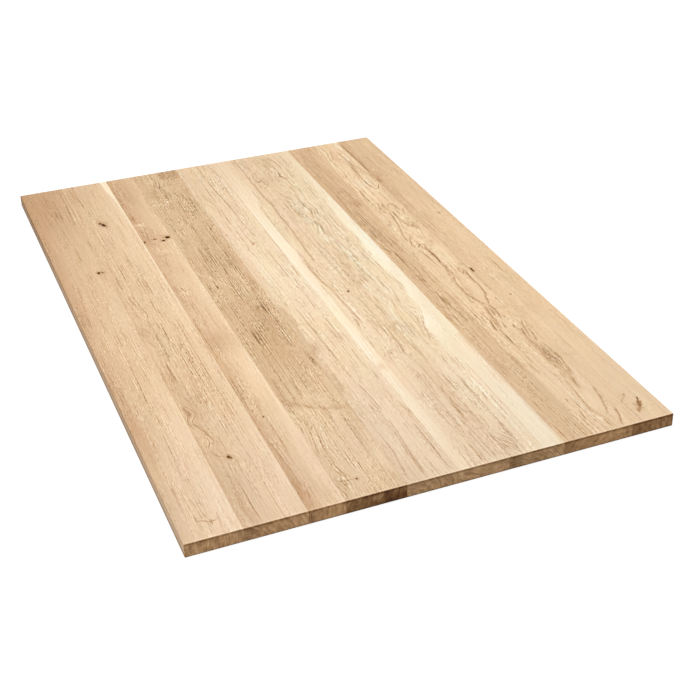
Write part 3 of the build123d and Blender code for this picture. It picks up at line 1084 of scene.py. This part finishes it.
def rounded(points, low, high, round_left, round_right):
    """Pulls the stave's edges in to their roundings. A side that butts on a neighbour stays square."""
    inner_low = np.array(low) + (EDGE_RADIUS if round_left else -1, EDGE_RADIUS, EDGE_RADIUS)
    inner_high = np.array(high) - (EDGE_RADIUS if round_right else -1, EDGE_RADIUS, EDGE_RADIUS)
    core = np.clip(points, inner_low, inner_high)
    out = points - core
    length = np.linalg.norm(out, axis=1)
    biggest = np.abs(out).max(axis=1)
    shrink = np.where(length > 0, biggest / np.maximum(length, 1e-9), 1)
    return core + out * shrink[:, None]


def to_row(points):
    """Board millimetres to the row frame's metres."""
    return (np.array([LEFT_SIDE, FAR_END, TOP]) + points * (1, -1, -1)) * MM


def fine_places(stave):
    """Where the grid is close across and along, for knots and checks."""
    across, along = [], []
    for knot in stave.knots:
        if knot.pit:
            across.append((knot.x, KNOT_MARGIN * knot.half_width))
            along.append((knot.y, KNOT_MARGIN * knot.half_length))
    for check in stave.checks:
        (x0, y0), (x1, y1) = check.start, check.end
        across.append(((x0 + x1) / 2, abs(x1 - x0) / 2 + CHECK_MARGIN))
        along.append(((y0 + y1) / 2, abs(y1 - y0) / 2 + CHECK_MARGIN))
    return across, along


def face_fields(stave, left, right, first, last, points):
    """How much a point belongs to an end face or a long side of the board, its distance from a glue joint,
    and what is added to the end grain's lightness."""
    end_away = np.minimum(points[:, 1], BOARD_LENGTH - points[:, 1])
    side_away, joint = np.full((2, len(points)), FAR_AWAY)
    for is_outside, away in ((first, points[:, 0] - left), (last, right - points[:, 0])):
        nearest = side_away if is_outside else joint
        np.minimum(nearest, away, out=nearest)
    end_stain = np.zeros(len(points))
    for patch in stave.end_stains:
        end_stain += patch.amount * bump(patch, points[:, 0], points[:, 2])
    return {
        "end_face": part_way(end_away, EDGE_RADIUS - 0.2, EDGE_RADIUS - 1.2),
        "end_stain": end_stain * (points[:, 1] > BOARD_LENGTH / 2),
        "side_face": part_way(side_away, 0.625 * EDGE_RADIUS, 0.125 * EDGE_RADIUS),
        "joint": joint,
    }


def stave_surface(stave, left, right, first, last):
    """The stave's points with its roundings, the same points with its hollows sunk, and its quads."""
    across, along = fine_places(stave)
    xs = spaced(left, right, ACROSS_STEP, across, first, last)
    ys = spaced(0, BOARD_LENGTH, ALONG_STEP, along, True, True)
    zs = spaced(0, THICKNESS, DOWN_STEP, (), True, True)
    points, quads = box_surface(xs, ys, zs)
    points = rounded(points, (left, 0, 0), (right, BOARD_LENGTH, THICKNESS), first, last)
    on_left_joint = (points[:, 0] < left + TOUCHING) & (not first)
    on_right_joint = (points[:, 0] > right - TOUCHING) & (not last)
    may_sink = (points[:, 2] < TOUCHING) & ~on_left_joint & ~on_right_joint
    shaped = points.copy()
    shaped[:, 2] += np.where(may_sink, sunk(stave, points), 0)
    return points, shaped, quads


def make_stave(name, number):
    """The stave's closed mesh, and the fields of its wood that its material reads."""
    stave = STAVES[name]
    box_low, box_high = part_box(name)
    left, right = box_low[0] / MM - LEFT_SIDE, box_high[0] / MM - LEFT_SIDE
    first, last = number == 1, number == len(STAVES)
    points, shaped, quads = stave_surface(stave, left, right, first, last)

    mesh = bpy.data.meshes.new(name + "_oak")
    mesh.from_pydata(to_row(shaped).tolist(), [], quads.tolist())
    mesh.validate()
    mesh.shade_smooth()
    mesh.set_sharp_from_angle(angle=math.radians(SHARP_ANGLE))

    seed = 100 * number
    lines, layer_count = line_fields(stave, points)
    fields = {
        **grain_fields(stave, seed, (left + right) / 2, shaped),
        **sapwood_fields(stave, points),
        **knot_fields(stave, points),
        **face_fields(stave, left, right, first, last, points),
        **lines,
        "depth": points[:, 2],
        "stain": stain_field(stave, seed, left, right, points),
        "dashes": stave.dashed + patchwork(stave.dashes, points),
        "crack": crack_field(stave, points),
        "lively": streak_field(stave, points),
    }
    for field_name, values in fields.items():
        attribute = mesh.attributes.new(field_name, "FLOAT", "POINT")
        attribute.data.foreach_set("value", values.astype(np.float32))
    mesh.materials.append(oak_material(name, stave, number, layer_count))

    piece = bpy.data.objects.new(name + "_oak", mesh)
    bpy.context.scene.collection.objects.link(piece)
    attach(piece, "root")
    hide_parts(name)


# Materials

# How much of the wood's lightness each part of its look adds or takes.
FINE_STREAK, MIDDLE_STREAK, BROAD_STREAK, CLOUD = 0.20, 0.045, 0.05, 0.05
SPECK_STREAK, THREAD_STREAK, CALM_STREAK, BUSY_STREAK = 0.70, 1.22, 0.03, 0.14
PORE_DARK, RAY_PALE, JOINT_DARK = 0.09, 0.02, 0.10
LINE_SHADOW, LINE_GLEAM = 0.26, 0.06
KNOT_DARK, KNOT_RING_DARK, HALO_DARK, CHECK_DARK = 0.56, 0.04, 0.11, 0.42
# The end face's darkening at its top and foot is painted shade. Its ring darkening is the wood's own.
END_RING_DARK, END_TOP_PAINTED_SHADE, END_FOOT_PAINTED_SHADE = 0.06, 0.15, 0.30
# Painted shade and painted light on the board's long sides.
SIDE_FOOT_PAINTED_SHADE, SIDE_TOP_PAINTED_SHADE, SIDE_MIDDLE_PAINTED_LIGHT = 0.22, 0.07, 0.02
SIDE_FAR_PAINTED_SHADE, SIDE_NEAR_PAINTED_SHADE = 0.13, 0.09
# A painted highlight along the rounded top arris of the near end.
NEAR_EDGE_PAINTED_HIGHLIGHT = 0.035
# Sizes of the wood's cells and clouds, in millimetres around the tree, out from its middle and along it.
PORE_SIZE, RAY_SIZE, HUE_CLOUD_SIZE = (0.75, 0.75, 9), (0.5, 8, 7), (26, 26, 120)
END_STREAK_SIZE, END_FLECK_SIZE, END_BAND_SIZE = (14, 1.3, 500), (9, 7, 500), (34, 5, 500)
# Each pair below says where something is absent and where it is full. A year goes from 0 to 1.
EARLY_WOOD, LATE_WOOD = (0.36, 0.0), (0.6, 1.0)
PORE_EDGE, RAY_EDGE, SAPWOOD_EDGE = (0.0, 0.14), (0.12, 0.26), (-0.8, 0.8)
# Over a drawn line, in half widths: its core, then both sides of its shadow and of its gleam.
CORE_SIDE = (1.15, 0.25)
SHADOW_OUTSIDE, SHADOW_INSIDE = (3.4, 0.6), (-0.8, 0.2)
GLEAM_OUTSIDE, GLEAM_INSIDE = (-3.0, -1.5), (-0.4, -1.5)
# Over a knot, in its own half sizes.
KNOT_CORE_SIDE, HALO_SIDE = (1.25, 0.55), (3.2, 0.8)
# Down from the top face, in millimetres.
FIGURE_DEPTH = (20.0, 6.0)
END_TOP, END_FOOT = (5.0, 1.0), (22.5, 25.5)
SIDE_FOOT, SIDE_TOP, SIDE_MIDDLE = (12.0, 25.0), (6.0, 2.0), (4.0, 8.0)
FAR_SHADE_DEPTH, NEAR_SHADE_DEPTH, COOL_DEPTH = (16.0, 4.0), (16.0, 25.0), (1.0, 0.1)
# Along the board from its far end, and away from a joint, in millimetres.
FAR_SHADE, NEAR_SHADE, COOL_END, NEAR_EDGE = (800, 0), (600, 1400), (900, 1350), (1393.5, 1396.5)
JOINT_SIDE = (0.6, 0.05)
# The finish. The relief is in millimetres.
ROUGHNESS, SPECULAR = 0.52, 0.33
RELIEF_HEIGHT, RELIEF_STRENGTH = 0.12, 0.4


def linear(channel):
    """A screen colour channel, 0 to 255, as light."""
    c = min(max(channel / 255, 0), 1)
    return c / 12.92 if c <= 0.04045 else ((c + 0.055) / 1.055) ** 2.4


def colour(rgb):
    return (*(linear(channel) for channel in rgb), 1.0)


class Wire:
    """A value in a node tree. Sums and products of wires and numbers make the nodes for them."""

    def __init__(self, tree, socket):
        self.tree, self.socket = tree, socket

    def maths(self, operation, *others, clamp=False):
        node = self.tree.nodes.new("ShaderNodeMath")
        node.operation = operation
        node.use_clamp = clamp
        for place, value in enumerate((self, *others)):
            plug(self.tree, value, node.inputs[place])
        return Wire(self.tree, node.outputs[0])

    def __add__(self, other):
        return self.maths("ADD", other)

    def __sub__(self, other):
        return self.maths("SUBTRACT", other)

    def __rsub__(self, other):
        return (self * -1.0) + other

    def __mul__(self, other):
        return self.maths("MULTIPLY", other)

    def __truediv__(self, other):
        return self.maths("DIVIDE", other)

    __radd__, __rmul__ = __add__, __mul__

    def between(self, low, high):
        """0 at low and 1 at high, smooth between. low may be the greater."""
        node = self.tree.nodes.new("ShaderNodeMapRange")
        node.interpolation_type = "SMOOTHSTEP"
        flip = low > high
        plug(self.tree, self, node.inputs["Value"])
        node.inputs["From Min"].default_value = min(low, high)
        node.inputs["From Max"].default_value = max(low, high)
        node.inputs["To Min"].default_value = 1.0 if flip else 0.0
        node.inputs["To Max"].default_value = 0.0 if flip else 1.0
        return Wire(self.tree, node.outputs["Result"])


def plug(tree, value, socket):
    """Links a wire to a socket, or writes a number on it."""
    if isinstance(value, Wire):
        tree.links.new(value.socket, socket)
    else:
        socket.default_value = value


class Grain:
    """Fields of the mesh, and textures laid out around the tree's pith, out from it and along it."""

    def __init__(self, tree, shift):
        self.tree = tree
        self.around = self.field("around") + shift
        self.out = self.field("out") + 0.7 * shift
        self.along = self.field("along")

    def field(self, name):
        node = self.tree.nodes.new("ShaderNodeAttribute")
        node.attribute_name = name
        return Wire(self.tree, node.outputs["Fac"])

    def place(self, around_size, out_size, along_size):
        node = self.tree.nodes.new("ShaderNodeCombineXYZ")
        parts = (self.around / around_size, self.out / out_size, self.along / along_size)
        for socket, value in zip(node.inputs, parts):
            plug(self.tree, value, socket)
        return node.outputs[0]

    def noise(self, around_size, out_size, along_size, detail=1.0):
        """Noise about 0, between -0.5 and 0.5, with lumps of these sizes in millimetres."""
        node = self.tree.nodes.new("ShaderNodeTexNoise")
        node.inputs["Scale"].default_value = 1.0
        node.inputs["Detail"].default_value = detail
        self.tree.links.new(self.place(around_size, out_size, along_size), node.inputs["Vector"])
        return Wire(self.tree, node.outputs["Fac"]) - 0.5

    def cells(self, around_size, out_size, along_size):
        """Distance from the middle of the nearest of many long cells, and a number of that cell's own."""
        node = self.tree.nodes.new("ShaderNodeTexVoronoi")
        node.inputs["Scale"].default_value = 1.0
        self.tree.links.new(self.place(around_size, out_size, along_size), node.inputs["Vector"])
        return Wire(self.tree, node.outputs["Distance"]), Wire(self.tree, node.outputs["Color"])

    def chance(self, value):
        """A random number from 0 to 1 for each value."""
        node = self.tree.nodes.new("ShaderNodeTexWhiteNoise")
        node.noise_dimensions = "1D"
        self.tree.links.new(value.socket, node.inputs["W"])
        return Wire(self.tree, node.outputs["Value"])


class Fibre:
    """Streaks of the grain from fine to broad. thread and speck are shifted so that they hardly change the
    mean tone. busy is 1 where streaks are strong and 0 in the calm stretches, and ragged is the waver of
    every line's edge."""

    def __init__(self, grain):
        self.fine = grain.noise(1.0, 1.0, 13)
        self.thread = grain.noise(1.2, 1.2, 100).between(-0.24, 0.0) - 0.85
        self.speck = grain.noise(1.2, 1.2, 7.5).between(-0.20, 0.06) - 0.72
        self.middle = grain.noise(5, 5, 90)
        self.broad = grain.noise(13, 13, 240)
        self.cloud = grain.noise(45, 45, 260, detail=2.0)
        self.ragged = grain.noise(5, 5, 60, detail=2.0)
        self.busy = grain.noise(15, 15, 110).between(-0.10, 0.13)
        self.dash = grain.noise(1.4, 1.4, 11).between(0.04, 0.18)


def growth_rings(grain, fibre, number):
    """How much a point is in a year's open-pored start, how strong the year is, and how dark its line."""
    count = grain.field("rings") + fibre.ragged * 0.35
    year = count.maths("FLOOR")
    phase = count - year
    early, late = phase.between(*EARLY_WOOD), phase.between(*LATE_WOOD)
    strong = grain.chance(year + 11.3 * number)
    line = early * (strong * strong * 1.1 + 0.25) * (fibre.dash * 1.1 + 0.35) + late * 0.2
    return early, strong, line


def fine_streaks(fibre, stave, share):
    """Streaks, strongest in the busy places, over broader ones."""
    lively = fibre.speck * SPECK_STREAK + fibre.thread * THREAD_STREAK
    lively = lively * (fibre.busy * BUSY_STREAK + CALM_STREAK) * stave.streaked
    broader = fibre.middle * MIDDLE_STREAK + fibre.broad * BROAD_STREAK
    return (fibre.fine * FINE_STREAK + lively) * share + broader


def open_pores(grain, early):
    """Open vessels, thickest in the dark line of a year."""
    distance, cell = grain.cells(*PORE_SIZE)
    return (early * 0.30 + cell * 0.16 - distance).between(*PORE_EDGE)


def figure_lines(grain, fibre, layer_count):
    """Darkness of the drawn lines: a wavering core, with a shadow on one side and a gleam on the other."""
    total = 0.0
    waver = fibre.ragged * 1.6 + fibre.thread * 0.5 + fibre.speck * 1.5
    for layer in range(layer_count):
        reach = grain.field(f"line_{layer}") + waver
        core = reach.maths("ABSOLUTE").between(*CORE_SIDE)
        shadow = reach.between(*SHADOW_OUTSIDE) * reach.between(*SHADOW_INSIDE)
        gleam = reach.between(*GLEAM_OUTSIDE) * reach.between(*GLEAM_INSIDE)
        line = core + shadow * LINE_SHADOW - gleam * LINE_GLEAM
        total = line * grain.field(f"line_{layer}_dark") + total
    broken = fibre.speck * 1.1 + fibre.thread * 0.8 + fibre.busy * 0.3 + 1.15
    return total * grain.field("depth").between(*FIGURE_DEPTH) * broken


def knots_and_cracks(grain, fibre):
    """Darkness of the open checks and of the knots, each a ringed core inside a brown halo, and how much a
    point is in a knot's core or a check."""
    reach = grain.field("knot") + fibre.middle * 0.5
    core, halo = reach.between(*KNOT_CORE_SIDE), reach.between(*HALO_SIDE)
    turns = (reach * 9.0).maths("SINE") * KNOT_RING_DARK
    # A check's darkness is partly painted shade inside the open crack.
    cracks = grain.field("crack") * (fibre.speck * 0.5 + fibre.fine * 2.0 + 1.0)
    knots = (core * (turns + KNOT_DARK) + halo * HALO_DARK) * grain.field("knot_dark")
    return knots + cracks * CHECK_DARK, (core + cracks).maths("MINIMUM", 1.0)


def end_grain(grain, stave, early, strong):
    """Lightness of the end grain, which drinks the oil: darker, every ring cut across, painted shade at top
    and foot.
    """
    streak = grain.noise(*END_STREAK_SIZE) * 0.30 + grain.noise(*END_FLECK_SIZE, detail=2.0) * 0.32
    streak = streak + grain.noise(*END_BAND_SIZE) * 0.22
    depth = grain.field("depth")
    cut = grain.field("end_stain") + stave.end_tone + streak - early * strong * END_RING_DARK
    # Painted shade: a band just under the top arris, and a darker one at the foot where the board meets the
    # floor.
    return cut - depth.between(*END_TOP) * END_TOP_PAINTED_SHADE - depth.between(*END_FOOT) * END_FOOT_PAINTED_SHADE


def painted_side_shade(grain):
    """Painted shade on the long sides, near the underside, under the top and towards the ends, with a
    little painted light.
    """
    depth = grain.field("depth")
    shade = depth.between(*SIDE_FOOT) * SIDE_FOOT_PAINTED_SHADE + depth.between(*SIDE_TOP) * SIDE_TOP_PAINTED_SHADE
    shade = shade - depth.between(*SIDE_MIDDLE) * SIDE_MIDDLE_PAINTED_LIGHT
    far_top = grain.along.between(*FAR_SHADE) * depth.between(*FAR_SHADE_DEPTH)
    near_low = grain.along.between(*NEAR_SHADE) * depth.between(*NEAR_SHADE_DEPTH)
    shade = shade + far_top * SIDE_FAR_PAINTED_SHADE + near_low * SIDE_NEAR_PAINTED_SHADE
    return grain.field("side_face") * shade


def ramp_colour(tree, tone, tint):
    """The wood's colour for its lightness, with the stave's own tint in screen levels."""
    ramp = tree.nodes.new("ShaderNodeValToRGB")
    ramp.color_ramp.interpolation = "LINEAR"
    elements = ramp.color_ramp.elements
    while len(elements) < len(WOOD_COLOURS):
        elements.new(0.5)
    for element, (place, rgb) in zip(elements, WOOD_COLOURS):
        element.position = place
        element.color = colour(np.add(rgb, tint))
    plug(tree, tone, ramp.inputs["Fac"])
    return ramp.outputs["Color"]


def vector_maths(tree, operation, *values):
    """A node that works on red, green and blue at once."""
    node = tree.nodes.new("ShaderNodeVectorMath")
    node.operation = operation
    for socket, value in zip(node.inputs, values):
        if isinstance(value, tuple):
            socket.default_value = value
        else:
            tree.links.new(value, socket)
    return node.outputs[0]


def hue_drift(grain, wood_colour):
    """The colour with faint pinkish and yellowish clouds, and cooler towards the near end of the top."""
    tree = grain.tree
    cloud = tree.nodes.new("ShaderNodeTexNoise")
    cloud.inputs["Scale"].default_value = 1.0
    cloud.inputs["Detail"].default_value = 1.0
    tree.links.new(grain.place(*HUE_CLOUD_SIZE), cloud.inputs["Vector"])
    near = tree.nodes.new("ShaderNodeCombineXYZ")
    nearness = grain.along.between(*COOL_END) * grain.field("depth").between(*COOL_DEPTH)
    for socket, amount in zip(near.inputs, NEAR_COOLNESS):
        plug(tree, nearness * amount, socket)
    drift = vector_maths(tree, "SUBTRACT", cloud.outputs["Color"], (0.5, 0.5, 0.5))
    drift = vector_maths(tree, "ADD", drift, near.outputs[0])
    factor = vector_maths(tree, "MULTIPLY_ADD", drift, HUE_DRIFT, (1.0, 1.0, 1.0))
    return vector_maths(tree, "MULTIPLY", wood_colour, factor)


def fine_relief(tree, height, shader):
    """The least of the wood's relief, as bump."""
    relief = tree.nodes.new("ShaderNodeBump")
    relief.inputs["Distance"].default_value = RELIEF_HEIGHT * MM
    relief.inputs["Strength"].default_value = RELIEF_STRENGTH
    plug(tree, height, relief.inputs["Height"])
    tree.links.new(relief.outputs["Normal"], shader.inputs["Normal"])


def oak_material(name, stave, number, layer_count):
    """Planed oak. Each part of its look adds to the wood's lightness, and a ramp turns that into colour."""
    material = bpy.data.materials.new(name + "_wood")
    material.use_nodes = True
    tree = material.node_tree
    shader = tree.nodes["Principled BSDF"]
    grain = Grain(tree, 37.0 * number)
    fibre = Fibre(grain)
    early, strong, ring_line = growth_rings(grain, fibre, number)
    share = grain.field("lively")
    pore = open_pores(grain, early)
    ray = grain.noise(*RAY_SIZE).between(*RAY_EDGE)
    sapwood = (grain.field("sapwood") + fibre.middle * 1.6 + fibre.broad * 1.5).between(*SAPWOOD_EDGE)
    calm = 1.0 - sapwood * 0.5
    dark_parts, hollow = knots_and_cracks(grain, fibre)

    tone = grain.field("stain") + stave.tone + fibre.cloud * CLOUD
    tone = tone - ring_line * (fibre.busy * 0.8 + 0.6) * share * (calm * stave.ringed)
    tone = tone + fine_streaks(fibre, stave, share) * calm
    tone = tone - fibre.dash * (fibre.busy * 0.8 + 0.24) * share * grain.field("dashes") * calm
    tone = tone - pore * calm * PORE_DARK * stave.pored + ray * RAY_PALE * stave.rayed
    tone = tone + sapwood * grain.field("pale") * (SAPWOOD_TONE - stave.tone)
    tone = tone - figure_lines(grain, fibre, layer_count) - dark_parts
    tone = tone - grain.field("joint").between(*JOINT_SIDE) * JOINT_DARK
    # Painted shade on the long sides, and a painted highlight along the near end's top arris.
    tone = tone - painted_side_shade(grain) + grain.along.between(*NEAR_EDGE) * NEAR_EDGE_PAINTED_HIGHLIGHT
    end_face = grain.field("end_face")
    tone = tone + (end_grain(grain, stave, early, strong) - tone) * end_face

    wood_colour = hue_drift(grain, ramp_colour(tree, tone, stave.tint))
    tree.links.new(wood_colour, shader.inputs["Base Color"])
    roughness = fibre.fine * 0.16 + ROUGHNESS + pore * 0.2 + end_face * 0.2 - ring_line * 0.04
    plug(tree, roughness, shader.inputs["Roughness"])
    plug(tree, SPECULAR - hollow * 0.31 - pore * (1.0 - hollow) * 0.18, shader.inputs["Specular IOR Level"])
    fine_relief(tree, fibre.fine * 0.5 - pore * 0.7 - early * 0.15, shader)
    return material


# The studio

# The picture and the camera's focal length are in pixels, and its place is in metres.
PICTURE_SIZE = 696
FOCAL_PIXELS = 1319.34
PICTURE_MIDDLE = (368.58, 324.07)
CAMERA_PLACE = (-0.79692, -2.27665, 1.35233)
CAMERA_RIGHT = (0.9205229, -0.39061433, -0.00761797)
CAMERA_DOWN = (-0.20381301, -0.46348843, -0.86234491)
SENSOR_WIDTH = 36.0
FLOOR_SIZE, FLOOR_GAP = 30.0, 0.0002
FLOOR_GLOW, FLOOR_SEEN, FLOOR_BOUNCE, SKY = 0.80, 0.35, 0.55, 0.66


def make_camera():
    """The photograph's camera, fitted to the board's outline and joints."""
    data = bpy.data.cameras.new("camera")
    data.sensor_width = SENSOR_WIDTH
    data.lens = FOCAL_PIXELS / PICTURE_SIZE * SENSOR_WIDTH
    data.shift_x = (PICTURE_SIZE / 2 - PICTURE_MIDDLE[0]) / PICTURE_SIZE
    data.shift_y = (PICTURE_MIDDLE[1] - PICTURE_SIZE / 2) / PICTURE_SIZE
    camera = bpy.data.objects.new("camera", data)
    right, up = Vector(CAMERA_RIGHT).normalized(), -Vector(CAMERA_DOWN)
    back = right.cross(up).normalized()
    up = back.cross(right)
    place = Matrix((right, up, back)).transposed().to_4x4()
    place.translation = CAMERA_PLACE
    camera.matrix_world = place
    bpy.context.scene.collection.objects.link(camera)
    bpy.context.scene.camera = camera


def grey(light):
    return (light, light, light, 1)


def shaded(tree, kind, **inputs):
    """A shader node with its inputs set."""
    node = tree.nodes.new(kind)
    for name, value in inputs.items():
        node.inputs[name].default_value = value
    return node


def by_camera_ray(tree, seen, unseen, output_kind):
    """Sends one shader to what the camera sees directly and another to everything else."""
    choice = tree.nodes.new("ShaderNodeMixShader")
    path = tree.nodes.new("ShaderNodeLightPath")
    output = tree.nodes.new(output_kind)
    tree.links.new(path.outputs["Is Camera Ray"], choice.inputs[0])
    tree.links.new(unseen.outputs[0], choice.inputs[1])
    tree.links.new(seen.outputs[0], choice.inputs[2])
    tree.links.new(choice.outputs[0], output.inputs["Surface"])


def make_floor():
    """A white floor with the board's shadow. The camera sees it brighter than it lights the board."""
    mesh = bpy.data.meshes.new("floor")
    corners = [(x, y, BOARD_LOW.z - FLOOR_GAP) for x, y in ((-1, -1), (1, -1), (1, 1), (-1, 1))]
    mesh.from_pydata([(x * FLOOR_SIZE, y * FLOOR_SIZE, z) for x, y, z in corners], [], [(0, 1, 2, 3)])
    floor = bpy.data.objects.new("floor", mesh)
    bpy.context.scene.collection.objects.link(floor)
    material = bpy.data.materials.new("floor_paint")
    material.use_nodes = True
    tree = material.node_tree
    tree.nodes.clear()
    glow = shaded(tree, "ShaderNodeEmission", Strength=FLOOR_GLOW)
    paint = shaded(tree, "ShaderNodeBsdfDiffuse", Color=grey(FLOOR_SEEN))
    seen = tree.nodes.new("ShaderNodeAddShader")
    tree.links.new(glow.outputs[0], seen.inputs[0])
    tree.links.new(paint.outputs[0], seen.inputs[1])
    bounce = shaded(tree, "ShaderNodeBsdfDiffuse", Color=grey(FLOOR_BOUNCE))
    by_camera_ray(tree, seen, bounce, "ShaderNodeOutputMaterial")
    mesh.materials.append(material)


def make_softbox(name, place, size, energy):
    """A square lamp aimed at the board's middle."""
    data = bpy.data.lights.new(name, "AREA")
    data.shape = "SQUARE"
    data.size = size
    data.energy = energy
    lamp = bpy.data.objects.new(name, data)
    lamp.location = place
    lamp.rotation_euler = (-Vector(place)).to_track_quat("-Z", "Y").to_euler()
    bpy.context.scene.collection.objects.link(lamp)


def make_light():
    """An even pale sky, a large lamp overhead and a smaller one at the front left."""
    world = bpy.data.worlds.new("studio")
    bpy.context.scene.world = world
    world.use_nodes = True
    tree = world.node_tree
    tree.nodes.clear()
    sky = shaded(tree, "ShaderNodeBackground", Strength=SKY)
    white = shaded(tree, "ShaderNodeBackground", Strength=1.0)
    by_camera_ray(tree, white, sky, "ShaderNodeOutputWorld")
    make_softbox("overhead", (-0.6, 0.3, 4.0), 4.0, 100.0)
    make_softbox("front", (-1.2, -3.5, 1.6), 2.5, 25.0)


make_camera()
make_floor()
make_light()
for number, name in enumerate(STAVES, start=1):
    make_stave(name, number)

bpy.context.scene.view_settings.view_transform = "Standard"
